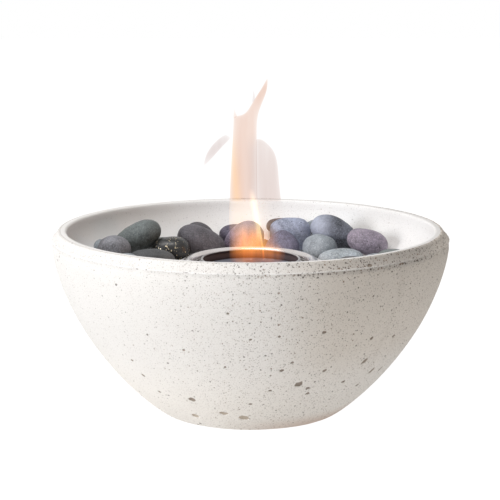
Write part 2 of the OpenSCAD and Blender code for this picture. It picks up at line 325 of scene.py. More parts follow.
def concrete(bowl):
    """Cast cement, pale and speckled outside and plainer inside."""
    finish = Finish("concrete")
    point = finish.place()
    x, y, z = finish.axes(point)
    rough_point = finish.shifted(point, 0.30 * MM, 900.0)
    cloudy = finish.cloud(point, 16.0, 4.0, 0.55)
    fine = finish.cloud(point, 1300.0, 3.0, 0.6)
    rusty = finish.cloud(point, 260.0, 1.0).above(0.50, 0.58)

    # where it is: inside the lip, on the band under the lip, on the lip's lower edge or under it
    shoulder = bowl.shoulder
    trough = bowl.rim - bowl.trough_drop
    inside_r = bowl.radius - 6.5 * MM
    reach = finish.radius(x, y) + (bowl.rim - z) * 0.30
    inside = reach.below(inside_r - 0.4 * MM, inside_r + 0.4 * MM)
    inside = inside * z.above(trough - 8.0 * MM, trough - 4.0 * MM)
    outside = 1.0 - inside
    band = z.above(shoulder - 5.0 * MM, shoulder - 1.0 * MM) * outside
    ridge = z.above(shoulder - 0.8 * MM, shoulder - 0.3 * MM)
    ridge = ridge * z.below(shoulder, shoulder + 0.6 * MM)
    groove = z.above(shoulder - 2.6 * MM, shoulder - 2.0 * MM) * (1.0 - ridge) * outside
    much = outside * 0.72 + 0.28

    # grains, pores and broken places, more of them on the right
    gritty = x.above(-0.10, 0.04)
    grains = finish.specks(rough_point, 1.3 * MM, 0.22 * MM, 0.48 * MM, 0.85)
    grains = grains * (gritty * 0.65 + 0.35)
    dots = finish.specks(rough_point, 3.4 * MM, 0.40 * MM, 0.85 * MM, 0.60, 3.0)
    dots = dots * (gritty * 0.45 + 0.55)
    pores = finish.specks(rough_point, 11.0 * MM, 0.9 * MM, 1.5 * MM, 0.45, 7.0)
    pocks = finish.specks(rough_point, 1.9 * MM, 0.42 * MM, 0.92 * MM, 0.85, 11.0) * band
    # painted shade: more pocks towards the right darken the band on its shaded side
    pocks = pocks * (x.above(-0.08, 0.06) * 0.8 + 0.2)
    patchy = (cloudy + x.above(0.02, 0.08) * 0.15).above(0.45, 0.55) * x.above(-0.04, 0.02)
    broken = finish.specks(rough_point, 2.4 * MM, 0.6 * MM, 1.1 * MM, 0.85, 17.0) * groove
    broken = broken * z.below(shoulder - 0.8 * MM, shoulder - 0.3 * MM) * patchy
    chips = finish.node("ShaderNodeAttribute", {"attribute_name": "chip"}, output="Fac")

    # the cement itself, with painted shade on the right side and at the far left, on the lip's
    # band and at the foot, and a painted highlight on the lip's ridge
    # painted shade: the cement is painted darker and warmer on the shaded right side, and greyer
    # at the far left, where the key lamp lights it most
    right_side_shade = x.above(0.005, 0.060) * z.above(0.030, 0.075) * 0.9
    side_shaded = finish.mixed(right_side_shade, bowl.paste, (0.73, 0.68, 0.62))
    side_shaded = finish.mixed(x.below(-0.130, -0.030) * 0.6, side_shaded, (0.70, 0.685, 0.665))
    outer = finish.mixed(z.below(0.012, 0.075) * 0.8, side_shaded, bowl.warm)
    # painted shade: the band under the lip is painted darker on its right, where it lies in shade
    band_shade = band * x.above(0.0, 0.09) * x.below(0.114, 0.136) * 0.6
    darkened = finish.mixed(band_shade, outer, (0.42, 0.40, 0.38))
    # painted shadow: a brown darkening along the foot's lower right edge
    foot_shade = z.below(0.002, 0.018) * x.above(-0.03, 0.05) * 0.75
    darkened = finish.mixed(foot_shade, darkened, (0.56, 0.42, 0.34))
    # painted highlight: a pale line along the ridge under the lip
    ridge_highlighted = finish.mixed(ridge * outside * x.below(0.06, 0.13) * 0.6, darkened, (0.93, 0.92, 0.91))
    # painted light and shade: the inside is a smoother, paler skin painted paler still to lift its
    # shade, and painted darker on the right, where the key lamp lights it
    inner = finish.mixed(x.above(0.020, 0.120), bowl.inner, (0.84, 0.835, 0.83))
    body = finish.mixed(inside, ridge_highlighted, inner)
    shaded = finish.mixed(cloudy.above(0.35, 0.75) * 0.10, body, (0.55, 0.51, 0.46))
    sandy = fine.above(0.48, 0.70) * (gritty * 0.30 + 0.16) * much
    grained = finish.mixed(sandy, shaded, (0.42, 0.38, 0.34))

    # the marks on it: dark grains and rust, and painted shade in the pores, pocks and breaks
    dark = finish.mixed(rusty * 0.8, bowl.speck, bowl.rust)
    dotted = finish.mixed(grains * 0.72 * much, grained, dark)
    marked = (dots * 0.80 * much).most(pores * 0.70 * outside)
    marked = marked.most(pocks * 0.78 * (1.0 - ridge * 0.7)).most(broken * 0.85)
    spotted = finish.mixed(marked, dotted, dark)
    # painted shade: the chipped hollows are painted dark brown, paler near the foot
    hollow = finish.mixed(z.below(0.015, 0.030) * 0.8, bowl.chip, (0.50, 0.42, 0.33))
    chipped = finish.mixed(chips.above(0.25, 0.75) * (cloudy * 0.3 + 0.70), spotted, hollow)
    height = fine * 0.35 - grains * 0.5 * much - dots * much - pores * 1.3 * outside
    height = height - pocks * 1.2 - broken * 1.4
    return finish.surface(base_color=chipped, roughness=0.86, specular_ior_level=0.25,
                          normal=finish.bump(height, 0.28 * MM, 0.75))


def felt(bowl):
    """Dense pressed felt."""
    finish = Finish("felt")
    point = finish.place()
    fibre = finish.cloud(finish.shifted(point, 0.6 * MM, 500.0), 2400.0, 4.0, 0.7)
    tuft = finish.cloud(point, 420.0, 3.0, 0.6)
    shade = finish.mixed(fibre.above(0.3, 0.75), bowl.felt, (0.12, 0.12, 0.13))
    return finish.surface(base_color=shade, roughness=0.95, specular_ior_level=0.1,
                          normal=finish.bump(fibre + tuft, 0.25 * MM))


def stone(name, dark, pale, seed, polish=0.62, glitter=0.0, split=None):
    """A tumbled river pebble: two tones, fine grain, pale nicks and small pits.

    Glitter is its share of golden flecks. Left of split a two-tone pebble is pale.
    """
    finish = Finish(name)
    point = finish.place()
    rough_point = finish.shifted(point, 2.5 * MM, 130.0, seed)
    patch = finish.cloud(rough_point, 70.0, 5.0, 0.62, seed)
    grain = finish.cloud(point, 900.0, 3.0, 0.7, seed)
    mottle = finish.cloud(rough_point, 330.0, 4.0, 0.7, seed + 6)
    tone = patch.above(0.36, 0.68) * 0.7 + mottle.above(0.38, 0.62) * 0.3
    if split:
        x = finish.axes(point)[0]
        side = (x + (patch - 0.5) * (14 * MM)).below(split - 6 * MM, split + 6 * MM)
        tone = tone * 0.4 + side * 0.6
    scratched_point = finish.shifted(point, 3 * MM, 90.0, seed + 2)
    scratch = finish.cloud(scratched_point, 190.0, 5.0, 0.75, seed + 4)
    nicks = scratch.above(0.60, 0.74) * ((side * 0.75 + 0.15) if split else 0.65)
    pits = finish.specks(rough_point, 3.4 * MM, 0.25 * MM, 0.65 * MM, 0.5, seed)
    base = finish.mixed(tone, dark, pale)
    speckle = grain.above(0.45, 0.72) * (0.22 if split else 0.48)
    grained = finish.mixed(speckle, base, scaled(pale, 1.8))
    nicked = finish.mixed(nicks, grained, [min(1.0, 1.5 * c + 0.05) for c in pale])
    pitted = finish.mixed(pits * 0.85, nicked, scaled(dark, 0.3))
    roughness = grain * 0.16 + (polish - 0.08)
    height = patch * 1.2 + grain * 0.25 - pits * 0.8 + nicks * 0.2
    values = {"base_color": pitted, "roughness": roughness, "specular_ior_level": 0.42}
    if glitter:
        flecks = finish.specks(point, 1.2 * MM, 0.22 * MM, 0.50 * MM, 0.8, seed + 8)
        gold = flecks * scratch.above(0.42, 0.52) * glitter
        values["base_color"] = finish.mixed(gold, pitted, (0.95, 0.80, 0.55))
        values["metallic"] = gold
    return finish.surface(normal=finish.bump(height, 0.5 * MM, 0.7), **values)


def steel(burner):
    """Polished stainless sheet, matt on the flange, with faint turning lines and heat tint."""
    finish = Finish("stainless")
    point = finish.place()
    x, y, z = finish.axes(point)
    radius = finish.radius(x, y)
    lines = finish.node("ShaderNodeTexNoise", {"noise_dimensions": "1D"},
                        {"W": radius * 2600.0 + z * 1900.0, "Scale": 1.0, "Detail": 3.0})
    smear = finish.cloud(point, 60.0, 4.0, 0.6)
    flange_r = 50.0 * MM  # where the bead ends and the flange begins
    hot = radius.below(flange_r - 7.0 * MM, flange_r + 1.0 * MM) * smear.above(0.25, 0.7)
    tint = finish.mixed(hot * 0.35, burner.steel, (0.46, 0.36, 0.30))
    darkened = finish.mixed(smear.above(0.5, 0.8) * 0.25, tint, (0.45, 0.43, 0.42))
    matt = radius.above(flange_r - 1.0 * MM, flange_r + 1.0 * MM)
    roughness = smear * 0.12 + lines * 0.05 + 0.15 + matt * 0.30
    return finish.surface(base_color=darkened, metallic=1.0, roughness=roughness,
                          normal=finish.bump(lines, 0.02 * MM, 0.4))


def tinplate(burner):
    """Bright tinplate, soft-edged crystals and light scuffs, soot near the top and painted shade
    on the inner side of the mouth.
    """
    finish = Finish("tinplate")
    point = finish.place()
    x, y, z = finish.axes(point)
    crystals = finish.cloud(finish.shifted(point, 2 * MM, 160.0), 240.0, 2.0, 0.5)
    scuffs = finish.cloud(point, 70.0, 5.0, 0.7, 2.0)
    # the inner side of the raised mouth, from the gel up to the rolled edge
    neck = finish.radius(x, y).below(0.0364, 0.0369)
    neck = neck * z.above(0.1055, 0.1062) * z.below(0.1122, 0.1130)
    # soot in patches near the top, and painted shade: the whole neck is painted dark and dull
    soot_and_shade = (z.above(0.100, 0.1125) * scuffs.above(0.35, 0.62)).most(neck * 1.45)
    bright = finish.mixed(crystals.above(0.4, 0.6) * 0.12, burner.tin, (0.44, 0.44, 0.45))
    sooted_and_shaded = finish.mixed(soot_and_shade * 0.65, bright, (0.030, 0.018, 0.026))
    roughness = scuffs * 0.18 + crystals * 0.06 + 0.16 + neck * 0.3
    return finish.surface(base_color=sooted_and_shaded, metallic=1.0 - neck * 0.9, roughness=roughness,
                          specular_ior_level=0.15, normal=finish.bump(scuffs, 0.05 * MM, 0.4))


def gel(burner):
    """Wet, slightly cloudy fuel gel with small bubbles, painted pale as highlights."""
    finish = Finish("gel")
    point = finish.place()
    swirl = finish.cloud(finish.shifted(point, 6 * MM, 60.0), 90.0, 3.0, 0.5)
    bubbles = finish.specks(point, 5 * MM, 0.5 * MM, 1.3 * MM, 0.5)
    tone = finish.mixed(swirl.above(0.35, 0.7), burner.gel, (0.26, 0.30, 0.38))
    # painted highlight: the bubbles are painted pale blue-white
    lit = finish.mixed(bubbles * 0.7, tone, (0.80, 0.84, 0.90))
    return finish.surface(base_color=lit, roughness=0.30, specular_ior_level=0.12,
                          normal=finish.bump(swirl + bubbles * 0.5, 1.2 * MM, 0.8))


# ---- Mesh tools ----

def arc(centre, radius, start, end, steps):
    """Points on an arc of a profile, angles in degrees."""
    angles = [math.radians(start + (end - start) * i / steps) for i in range(steps + 1)]
    return [(centre[0] + radius * math.cos(a), centre[1] + radius * math.sin(a)) for a in angles]


def refined(profile, spacing):
    """The profile with its long runs cut up evenly."""
    points = [profile[0]]
    for (r0, z0), (r1, z1) in zip(profile, profile[1:]):
        count = max(1, round(math.hypot(r1 - r0, z1 - z0) / spacing))
        points += [(r0 + (r1 - r0) * i / count, z0 + (z1 - z0) * i / count)
                   for i in range(1, count + 1)]
    return points


def spun(profile, steps):
    """A closed bmesh: the profile of (radius, height) points turned about the Z axis."""
    made = bmesh.new()
    points = [made.verts.new((r, 0.0, z)) for r, z in profile]
    edges = [made.edges.new(pair) for pair in zip(points, points[1:])]
    if profile[0][0] > 0 and profile[-1][0] > 0:
        edges.append(made.edges.new((points[-1], points[0])))
    bmesh.ops.spin(made, geom=points + edges, cent=(0, 0, 0), axis=(0, 0, 1), dvec=(0, 0, 0),
                   angle=math.tau, steps=steps, use_merge=True)
    bmesh.ops.remove_doubles(made, verts=made.verts[:], dist=1e-6)
    bmesh.ops.recalc_face_normals(made, faces=made.faces[:])
    return made


def placed(name, data, place=(0.0, 0.0, 0.0)):
    """A new object in the scene."""
    made = bpy.data.objects.new(name, data)
    made.location = place
    bpy.context.scene.collection.objects.link(made)
    return made


def finished(made, name, material):
    """A new smooth object from a bmesh."""
    for face in made.faces:
        face.smooth = True
    mesh = bpy.data.meshes.new(name)
    made.to_mesh(mesh)
    made.free()
    mesh.materials.append(material)
    return placed(name, mesh)


def smoothed(piece):
    """The piece with two levels of subdivision."""
    smoother = piece.modifiers.new("Smoother", "SUBSURF")
    smoother.levels = smoother.render_levels = 2
    return piece


def stands_for(piece, body, node):
    """The piece rides on a body in the place of a CAD node."""
    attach(piece, body)
    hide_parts(node)


# ---- Bowl ----

# Chipped places and large pores: azimuth in degrees, height over the table, length and width in
# millimetres, tilt in degrees and depth in millimetres. Azimuth 0 faces the viewer, + is right.
CHIPS = [
    (17, 46, 6.6, 5.0, 20, 1.4),
    (21, 42, 2.8, 2.5, 0, 0.9),
    (22, 37, 2.8, 2.4, 15, 0.9),
    (10, 59, 3.2, 2.5, 0, 0.9),
    (7, 42, 2.8, 2.0, 0, 0.8),
    (25, 56, 3.4, 2.4, 25, 1.0),
    (36, 43, 3.4, 2.6, 15, 0.8),
    (46, 36, 3.4, 2.4, 30, 0.8),
    (41, 58, 6.2, 3.4, 45, 0.8),
    (49, 47, 6.0, 2.8, 55, 0.7),
    (56, 45, 5.4, 2.4, 55, 0.7),
    (21, 87, 2.8, 2.6, -20, 0.9),
    (39, 77, 2.8, 2.4, 30, 0.8),
    (50, 74, 2.8, 2.2, 45, 0.8),
    (13, 65, 2.2, 2.0, 0, 0.7),
    (-24, 31, 5.2, 4.6, -10, 1.2),
    (-28, 14, 5.4, 5.2, 5, 0.9),
    (-12, 20, 6.0, 4.0, 0, 0.9),
    (-3, 16, 7.4, 5.6, -25, 1.1),
    (0, 30, 2.4, 1.8, 0, 0.7),
    (-39, 33, 3.2, 2.2, -30, 0.7),
    (-43, 58, 2.2, 2.0, 0, 0.6),
    (-42, 46, 3.2, 2.4, -40, 0.6),
    (-8, 62, 2.0, 1.8, 0, 0.7),
    (-6, 103, 2.2, 1.9, 0, 0.7),
    (8, 86, 2.0, 1.8, 0, 0.7),
    (0, 84, 2.0, 1.7, 0, 0.7),
    (33, 131, 4.0, 1.6, 0, 0.9),
    (54, 134, 2.4, 2.0, 0, 0.9),
    # the side that faces away
    (112, 40, 5.8, 3.6, 30, 1.0),
    (130, 72, 2.8, 2.2, 0, 0.8),
    (151, 30, 6.4, 4.0, -20, 1.1),
    (168, 55, 3.0, 2.2, 10, 0.8),
    (-171, 21, 6.0, 3.4, 10, 0.9),
    (-150, 92, 2.6, 2.2, 30, 0.8),
    (-134, 36, 4.6, 3.0, -30, 0.8),
    (-108, 60, 3.0, 2.4, 0, 0.8),
    (-82, 26, 5.2, 3.2, 20, 0.8),
    (85, 24, 5.6, 3.4, -15, 0.9),
]


def side_radius(bowl, z):
    """Radius of the bowl's outside at a height: a superellipse from the base to the lip."""
    rise = 1.0 - max(0.0, (bowl.shoulder - z) / bowl.shoulder) ** 1.72
    return bowl.base_radius + (bowl.radius - bowl.base_radius) * rise ** 0.85


def bowl_profile(bowl):
    """The outline of the cast bowl, from the middle of its dish round to the well's floor."""
    foot = bowl.foot
    ease = 3 * MM
    foot_flat = side_radius(bowl, foot) - ease
    foot_top = foot + 1.5 * MM
    shoulder = bowl.shoulder
    head = bowl.rim - bowl.lip_round
    trough = bowl.rim - bowl.trough_drop
    ledge = bowl.rim - bowl.ledge_drop
    mouth_r = bowl.radius - bowl.wall
    mouth_z = head - 2 * MM
    flat_r = bowl.pedestal_radius + bowl.trough_flat
    outer_c = (bowl.radius - bowl.lip_lean - bowl.lip_round, head)
    inner_c = (outer_c[0] - bowl.lip_flat, head)
    steps = 64
    side = []
    for i in range(steps + 1):
        z = foot_top + (shoulder - foot_top) * (1 - math.cos(math.pi / 2 * i / steps))
        side.append((side_radius(bowl, z), z))
    quarter = [math.pi / 2 * i / 36 for i in range(36, -1, -1)]
    inner = [(flat_r + (mouth_r - flat_r) * math.sin(t),
              trough + (mouth_z - trough) * (1 - math.cos(t))) for t in quarter]
    fillet = 2 * MM
    eased = 1 * MM
    dish = foot + bowl.dish_height
    return (
        [(0.0, dish)]
        + arc((bowl.dish_radius - bowl.dish_height, foot), bowl.dish_height, 90, 0, 5)
        + arc((foot_flat, foot + 2 * MM), 2 * MM, -90, -35, 4)
        + side[:-2]
        + [(bowl.radius - 0.55 * MM, shoulder - 1.1 * MM), (bowl.radius, shoulder - 0.25 * MM),
           (bowl.radius - 0.15 * MM, shoulder + 0.15 * MM),
           (bowl.radius - 0.70 * MM, shoulder + 0.45 * MM)]
        + arc(outer_c, bowl.lip_round, 12, 90, 7)
        + arc(inner_c, bowl.lip_round, 90, 160, 7)
        + inner
        + arc((bowl.pedestal_radius + fillet, trough + fillet), fillet, -90, -180, 5)
        + arc((bowl.pedestal_radius - eased, ledge - eased), eased, 0, 90, 4)
        + arc((bowl.well_radius + eased, ledge - eased), eased, 90, 180, 3)
        + [(bowl.well_radius, bowl.well_floor), (0.0, bowl.well_floor)]
    )


def roughened(made, bowl):
    """Gives the cast skin its slight waves and the lip's lower edge its small breaks."""
    made.normal_update()
    bite = 2.2 * MM
    moves = []
    for vert in made.verts:
        wave = noise.noise(vert.co * 38.0) * 0.16 * MM
        tooth = noise.noise(vert.co * 260.0) * 0.07 * MM
        edge = math.exp(-((vert.co.z - bowl.shoulder) / (1.2 * MM)) ** 2)
        rim = vert.co.xy.length > bowl.radius - 9 * MM
        broken = max(0.0, noise.noise(vert.co * 190.0 + Vector((5, 2, 0))) - 0.12)
        chew = -bite * broken * edge if rim else 0.0
        moves.append((vert, vert.normal * (wave + tooth + chew)))
    for vert, move in moves:
        vert.co += move


def chip_bowl(made, bowl):
    """Sinks the chipped places into the skin and marks them."""
    layer = made.verts.layers.float.new("chip")
    for azimuth, height, long, wide, tilt, depth in CHIPS:
        angle = math.radians(azimuth)
        z = height * MM
        out = Vector((math.sin(angle), -math.cos(angle), 0.0))
        across = Vector((math.cos(angle), math.sin(angle), 0.0))
        centre = out * side_radius(bowl, z) + Vector((0, 0, z))
        up = (out * side_radius(bowl, z + MM) + Vector((0, 0, z + MM)) - centre).normalized()
        inward = across.cross(up).normalized()
        if inward.dot(out) > 0:
            inward.negate()
        reach = 0.75 * long * MM + 1.5 * MM
        near = [f for f in made.faces if (f.calc_center_median() - centre).length < reach]
        edges = list(dict.fromkeys(e for f in near for e in f.edges))
        cuts = 4 if long > 4 else 6  # a small chip takes a finer mesh
        bmesh.ops.subdivide_edges(made, edges=edges, cuts=cuts, use_grid_fill=True)
        lean = math.radians(tilt)
        for vert in made.verts:
            step = vert.co - centre
            if step.length > reach:
                continue
            u, v = step.dot(across), step.dot(up)
            along = (u * math.cos(lean) + v * math.sin(lean)) / (long * MM / 2)
            beside = (v * math.cos(lean) - u * math.sin(lean)) / (wide * MM / 2)
            ragged = 1.0 + 0.35 * noise.noise(vert.co * 420.0)
            gone = math.hypot(along, beside) * ragged
            inside = max(0.0, min(1.0, (1.15 - gone) / 0.35))
            vert[layer] = max(vert[layer], inside)
            floor = 0.75 + 0.5 * noise.noise(vert.co * 700.0)
            vert.co += inward * (depth * MM * inside * floor)


class FIREBOWL_OT_cast_bowl(bpy.types.Operator):
    """Cast the concrete bowl"""
    bl_idname = "firebowl.cast_bowl"
    bl_label = "Cast Bowl"

    def execute(self, context):
        bowl = context.scene.fire_bowl
        made = spun(refined(bowl_profile(bowl), 2.6 * MM), 300)
        roughened(made, bowl)
        chip_bowl(made, bowl)
        piece = finished(made, "cast_bowl", concrete(bowl))
        stands_for(piece, BOWL_BODY, "bowl")
        return {"FINISHED"}


class FIREBOWL_OT_felt_pads(bpy.types.Operator):
    """Stick the felt pads under the bowl"""
    bl_idname = "firebowl.felt_pads"
    bl_label = "Felt Pads"

    def execute(self, context):
        cloth = felt(context.scene.fire_bowl)
        for name in sorted(n for n in frame["nodes"] if n.startswith("felt_pad")):
            low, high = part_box(name)
            centre = (low + high) / 2
            radius = (high.x - low.x) / 2
            ease = 0.35 * MM
            profile = ([(0.0, low.z), (radius * 0.5, low.z)]
                       + arc((radius - ease, low.z + ease), ease, -90, 0, 3)
                       + arc((radius - ease, high.z - ease), ease, 0, 90, 3)
                       + [(0.0, high.z)])
            made = spun(refined(profile, 0.8 * MM), 48)
            for vert in made.verts:
                if low.z + ease < vert.co.z < high.z - ease:
                    fuzz = noise.noise((vert.co + centre) * 900.0) * 0.06 * MM
                    vert.co += vert.co.xy.normalized().to_3d() * fuzz
            bmesh.ops.translate(made, verts=made.verts[:], vec=(centre.x, centre.y, 0.0))
            piece = finished(made, name.replace("felt_pad", "pad"), cloth)
            stands_for(piece, BOWL_BODY, name)
        return {"FINISHED"}


# ---- Pebbles ----

TWO_TONE = "pebble_13"
SPARKLING = "pebble_03"
# Pebbles that differ from the rest of their kind: how many times as pale, in red, green, blue.
OWN_TONE = {
    "pebble_01": (1.7, 1.6, 1.45),
    "pebble_04": (0.85, 0.95, 0.90),
    "pebble_06": (1.25, 1.25, 1.3),
    "pebble_08": (2.4, 2.1, 2.6),
    "pebble_09": (3.4, 2.0, 1.3),
    "pebble_10": (2.35, 2.4, 2.6),
    "pebble_11": (0.80, 0.92, 1.10),
    "pebble_14": (1.4, 1.4, 1.4),
    "pebble_15": (1.3, 1.35, 1.4),
    "pebble_18": (0.85, 0.68, 0.80),
    "pebble_35": (1.9, 1.4, 1.1),
}


def pebble_finishes(colours, slots):
    """One finish for each of the record's pebble slots, and some for single pebbles."""
    def tones(base, low=0.62, high=1.55):
        return scaled(base, low), scaled(base, high)

    made = {
        "pebble_slate": stone("pebble_slate", *tones(colours.slate), 1.0),
        "pebble_green": stone("pebble_green", *tones(colours.green), 2.0),
        "pebble_black": stone("pebble_black", *tones(colours.black), 3.0, polish=0.36),
        "pebble_charcoal": stone("pebble_charcoal", *tones(colours.charcoal), 4.0),
        "pebble_light": stone("pebble_light", *tones(colours.light, 0.7, 1.35), 5.0),
        "pebble_mauve": stone("pebble_mauve", *tones(colours.mauve), 6.0),
    }
    low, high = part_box(TWO_TONE)
    middle = low.x * 0.6 + high.x * 0.4
    made[TWO_TONE] = stone("pebble_two_tone", *tones(colours.slate, 0.16, 3.3), 7.0, split=middle)
    made[SPARKLING] = stone("pebble_sparkling", *tones(colours.black, 0.4, 0.9), 8.0, polish=0.3,
                            glitter=0.9)
    for number, (name, times) in enumerate(OWN_TONE.items()):
        plain = getattr(colours, slots[name].replace("pebble_", ""))
        base = [min(1.0, c * t) for c, t in zip(plain, times)]
        made[name] = stone("pebble_own_" + name[-2:], *tones(base, 0.6, 1.5), 9.0 + number)
    return made


class FIREBOWL_OT_lay_pebbles(bpy.types.Operator):
    """Lay the river pebbles in the trough"""
    bl_idname = "firebowl.lay_pebbles"
    bl_label = "Lay Pebbles"

    def execute(self, context):
        colours = context.scene.fire_pebbles
        slots = {row["node"]: row["material_slot"] for row in frame["record"]["subparts"]}
        finishes = pebble_finishes(colours, slots)
        for number, name in enumerate(sorted(n for n in frame["nodes"] if n.startswith("pebble"))):
            made = bmesh.new()
            made.from_mesh(frame["nodes"][name].data)
            bmesh.ops.remove_doubles(made, verts=made.verts[:], dist=1e-6)
            bmesh.ops.join_triangles(made, faces=made.faces[:], angle_face_threshold=1.0,
                                     angle_shape_threshold=1.0)
            bmesh.ops.subdivide_edges(made, edges=made.edges[:], cuts=1, smooth=1.0,
                                      use_grid_fill=True)
            bmesh.ops.smooth_vert(made, verts=made.verts[:], factor=0.5, use_axis_x=True,
                                  use_axis_y=True, use_axis_z=True)
            bmesh.ops.recalc_face_normals(made, faces=made.faces[:])
            made.normal_update()
            seed = Vector((number * 3.1, number * 1.7, number * 0.9))
            for vert in made.verts:
                lump = noise.noise(vert.co * 75.0 + seed)
                lump += 0.5 * noise.noise(vert.co * 170.0 + seed)
                vert.co += vert.normal * (colours.unevenness * lump + 0.2 * MM)
            slot = slots[name]
            piece = finished(made, name.replace("pebble", "river_pebble"),
                             finishes.get(name, finishes[slot]))
            stands_for(smoothed(piece), BOWL_BODY, name)
        return {"FINISHED"}


# ---- Burner ----

# Steps in a full turn of the sheet metal, the thickness of the holder's sheet and of the can's,
# the height and outer bend of the can's double seams, and the radius of its mouth.
TURNS = 160
HOLDER_SHEET = 0.8 * MM
TIN = 0.6 * MM
SEAM = 3.2 * MM
BEND = 0.9 * TIN
MOUTH_RADIUS = 35.0 * MM


def sheet_profile(line, thickness):
    """A closed outline of a sheet whose middle follows an open line."""
    offset = []
    for i, (r, z) in enumerate(line):
        before, after = line[max(0, i - 1)], line[min(len(line) - 1, i + 1)]
        run = Vector((after[0] - before[0], after[1] - before[1])).normalized()
        offset.append((r, z, -run.y * thickness / 2, run.x * thickness / 2))
    one = [(max(0.0, r + dr), z + dz) for r, z, dr, dz in offset]
    other = [(max(0.0, r - dr), z - dz) for r, z, dr, dz in offset]
    return one + other[::-1]


class FIREBOWL_OT_can_holder(bpy.types.Operator):
    """Draw the steel can holder"""
    bl_idname = "firebowl.can_holder"
    bl_label = "Can Holder"

    def execute(self, context):
        low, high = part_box("can_holder")
        cup_r = 42.4 * MM
        corner = 1.2 * MM
        bead_r = 3.4 * MM
        foot_drop = 6.6 * MM
        turn, slope = 60, 30  # where the bead ends and how the flange falls, in degrees
        half = HOLDER_SHEET / 2
        floor = low.z + half
        bead = (cup_r - half + bead_r, high.z - bead_r)
        top = (bead[0] + (bead_r - half) * math.cos(math.radians(turn)),
               bead[1] + (bead_r - half) * math.sin(math.radians(turn)))
        foot_z = high.z - foot_drop + half
        foot_r = top[0] + (top[1] - foot_z) / math.tan(math.radians(slope))
        line = ([(0.0, floor), (cup_r * 0.5, floor)]
                + arc((cup_r - corner, floor + corner), corner, -90, 0, 5)
                + arc(bead, bead_r - half, 180, turn, 16)
                + [(foot_r, foot_z), (high.x - 0.2 * MM, foot_z)])
        made = spun(refined(sheet_profile(line, HOLDER_SHEET), 4 * MM), TURNS)
        piece = finished(made, "steel_holder", steel(context.scene.fire_burner))
        rounded = piece.modifiers.new("Rounded Edges", "BEVEL")
        rounded.width = 0.25 * MM
        rounded.segments = 2
        rounded.angle_limit = math.radians(50)
        stands_for(piece, HOLDER_BODY, "can_holder")
        return {"FINISHED"}


